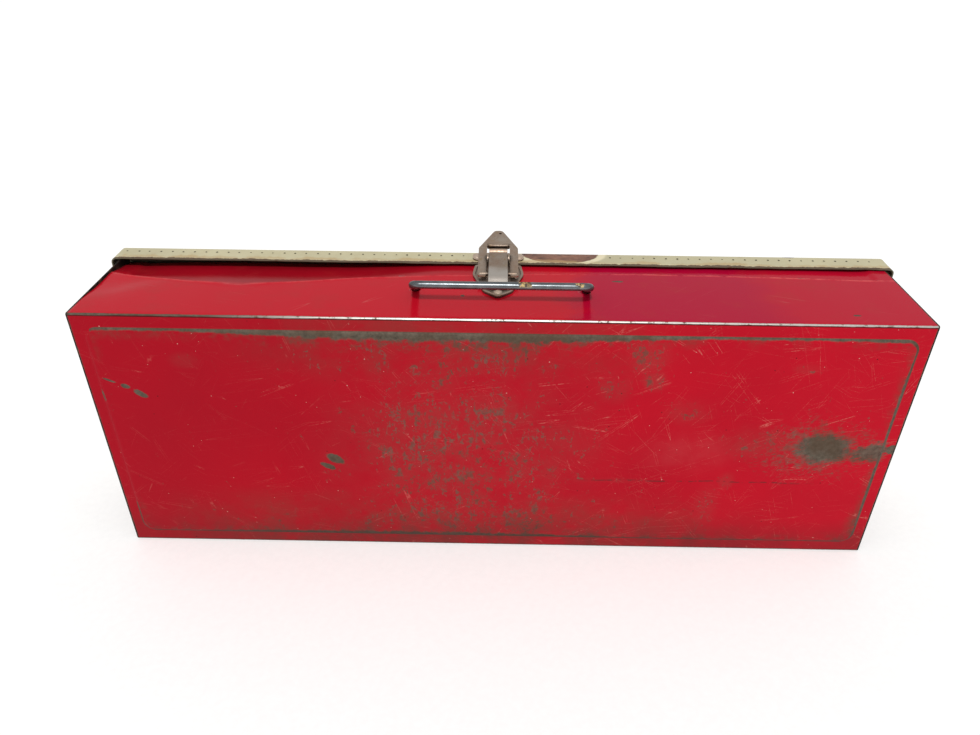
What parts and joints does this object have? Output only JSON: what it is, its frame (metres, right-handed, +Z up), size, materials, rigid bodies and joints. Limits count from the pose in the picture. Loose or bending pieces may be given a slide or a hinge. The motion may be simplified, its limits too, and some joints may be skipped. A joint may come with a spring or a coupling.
{
  "type": "flat toolbox with tray",
  "caption": "Flat sheet-steel toolbox with a hinged lid, a bail carrying handle, a draw latch and a lift-out tray.",
  "frame": {"origin": "on the outside of the base wall, the hinged long edge that the box stands on, midway between the ends and midway through the depth of the pan", "axes": "+X along the box, +Y from the stamped bottom panel to the lid, +Z up to the face with the handle and the latch"},
  "size_m": [0.5178, 0.0998, 0.1959],
  "materials": {
    "red_paint": "worn gloss",
    "cream_paint": "aged satin",
    "tarnished_nickel": "tarnished",
    "dark_steel": "dark satin",
    "hinge_steel": "satin",
    "rivet_steel": "satin"
  },
  "bodies": {
    "case": {"case_wrap": "red_paint", "end_panel_left": "red_paint", "end_panel_right": "red_paint", "tray_rest_left": "red_paint", "tray_rest_right": "red_paint", "tray_rest_rivets": "rivet_steel", "hinge_leaf_case": "hinge_steel", "hinge_pin": "hinge_steel", "hinge_rivets_case": "rivet_steel", "handle_clip_left": "rivet_steel", "handle_clip_right": "rivet_steel", "latch_base_plate": "tarnished_nickel", "latch_base_rivets": "tarnished_nickel", "latch_lever_pin": "tarnished_nickel"},
    "lid": {"lid_pan": "cream_paint", "hinge_leaf_lid": "hinge_steel", "hinge_rivets_lid": "rivet_steel", "strike_plate": "tarnished_nickel", "strike_rivets": "tarnished_nickel"},
    "lever": {"latch_lever": "tarnished_nickel"},
    "link": {"latch_link": "tarnished_nickel"},
    "handle": {"carry_handle": "dark_steel"},
    "tray": {"tray_pan": "red_paint", "tray_divider_long": "red_paint", "tray_divider_left": "red_paint", "tray_divider_right": "red_paint", "tray_handle": "rivet_steel", "tray_handle_rivets": "rivet_steel"}
  },
  "joints": [
    {"name": "lid_hinge", "type": "hinge", "parent": "case", "child": "lid", "pos_m": [0, 0.044, 0.0025], "axis": [-1, 0, 0], "range_deg": [0, 85]},
    {"name": "tray_lift", "type": "slide", "parent": "case", "child": "tray", "axis": [0, 1, 0], "range_m": [0, 0.03]},
    {"name": "latch_lever_hinge", "type": "hinge", "parent": "case", "child": "lever", "pos_m": [-0.002, 0.0225, 0.1897], "axis": [-1, 0, 0], "range_deg": [0, 150]},
    {"name": "latch_link_hinge", "type": "hinge", "parent": "lever", "child": "link", "pos_m": [-0.002, 0.006, 0.1862], "axis": [-1, 0, 0], "range_deg": [-200, 0]},
    {"name": "handle_swing", "type": "hinge", "parent": "case", "child": "handle", "pos_m": [0, 0.0035, 0.17682], "axis": [-1, 0, 0], "range_deg": [0, 58]}
  ],
  "couplings": [
    {"joint": "tray_lift", "follows": "lid_hinge", "m_per_rad": 0.02},
    {"joint": "latch_link_hinge", "follows": "latch_lever_hinge", "ratio": -1.3}
  ]
}
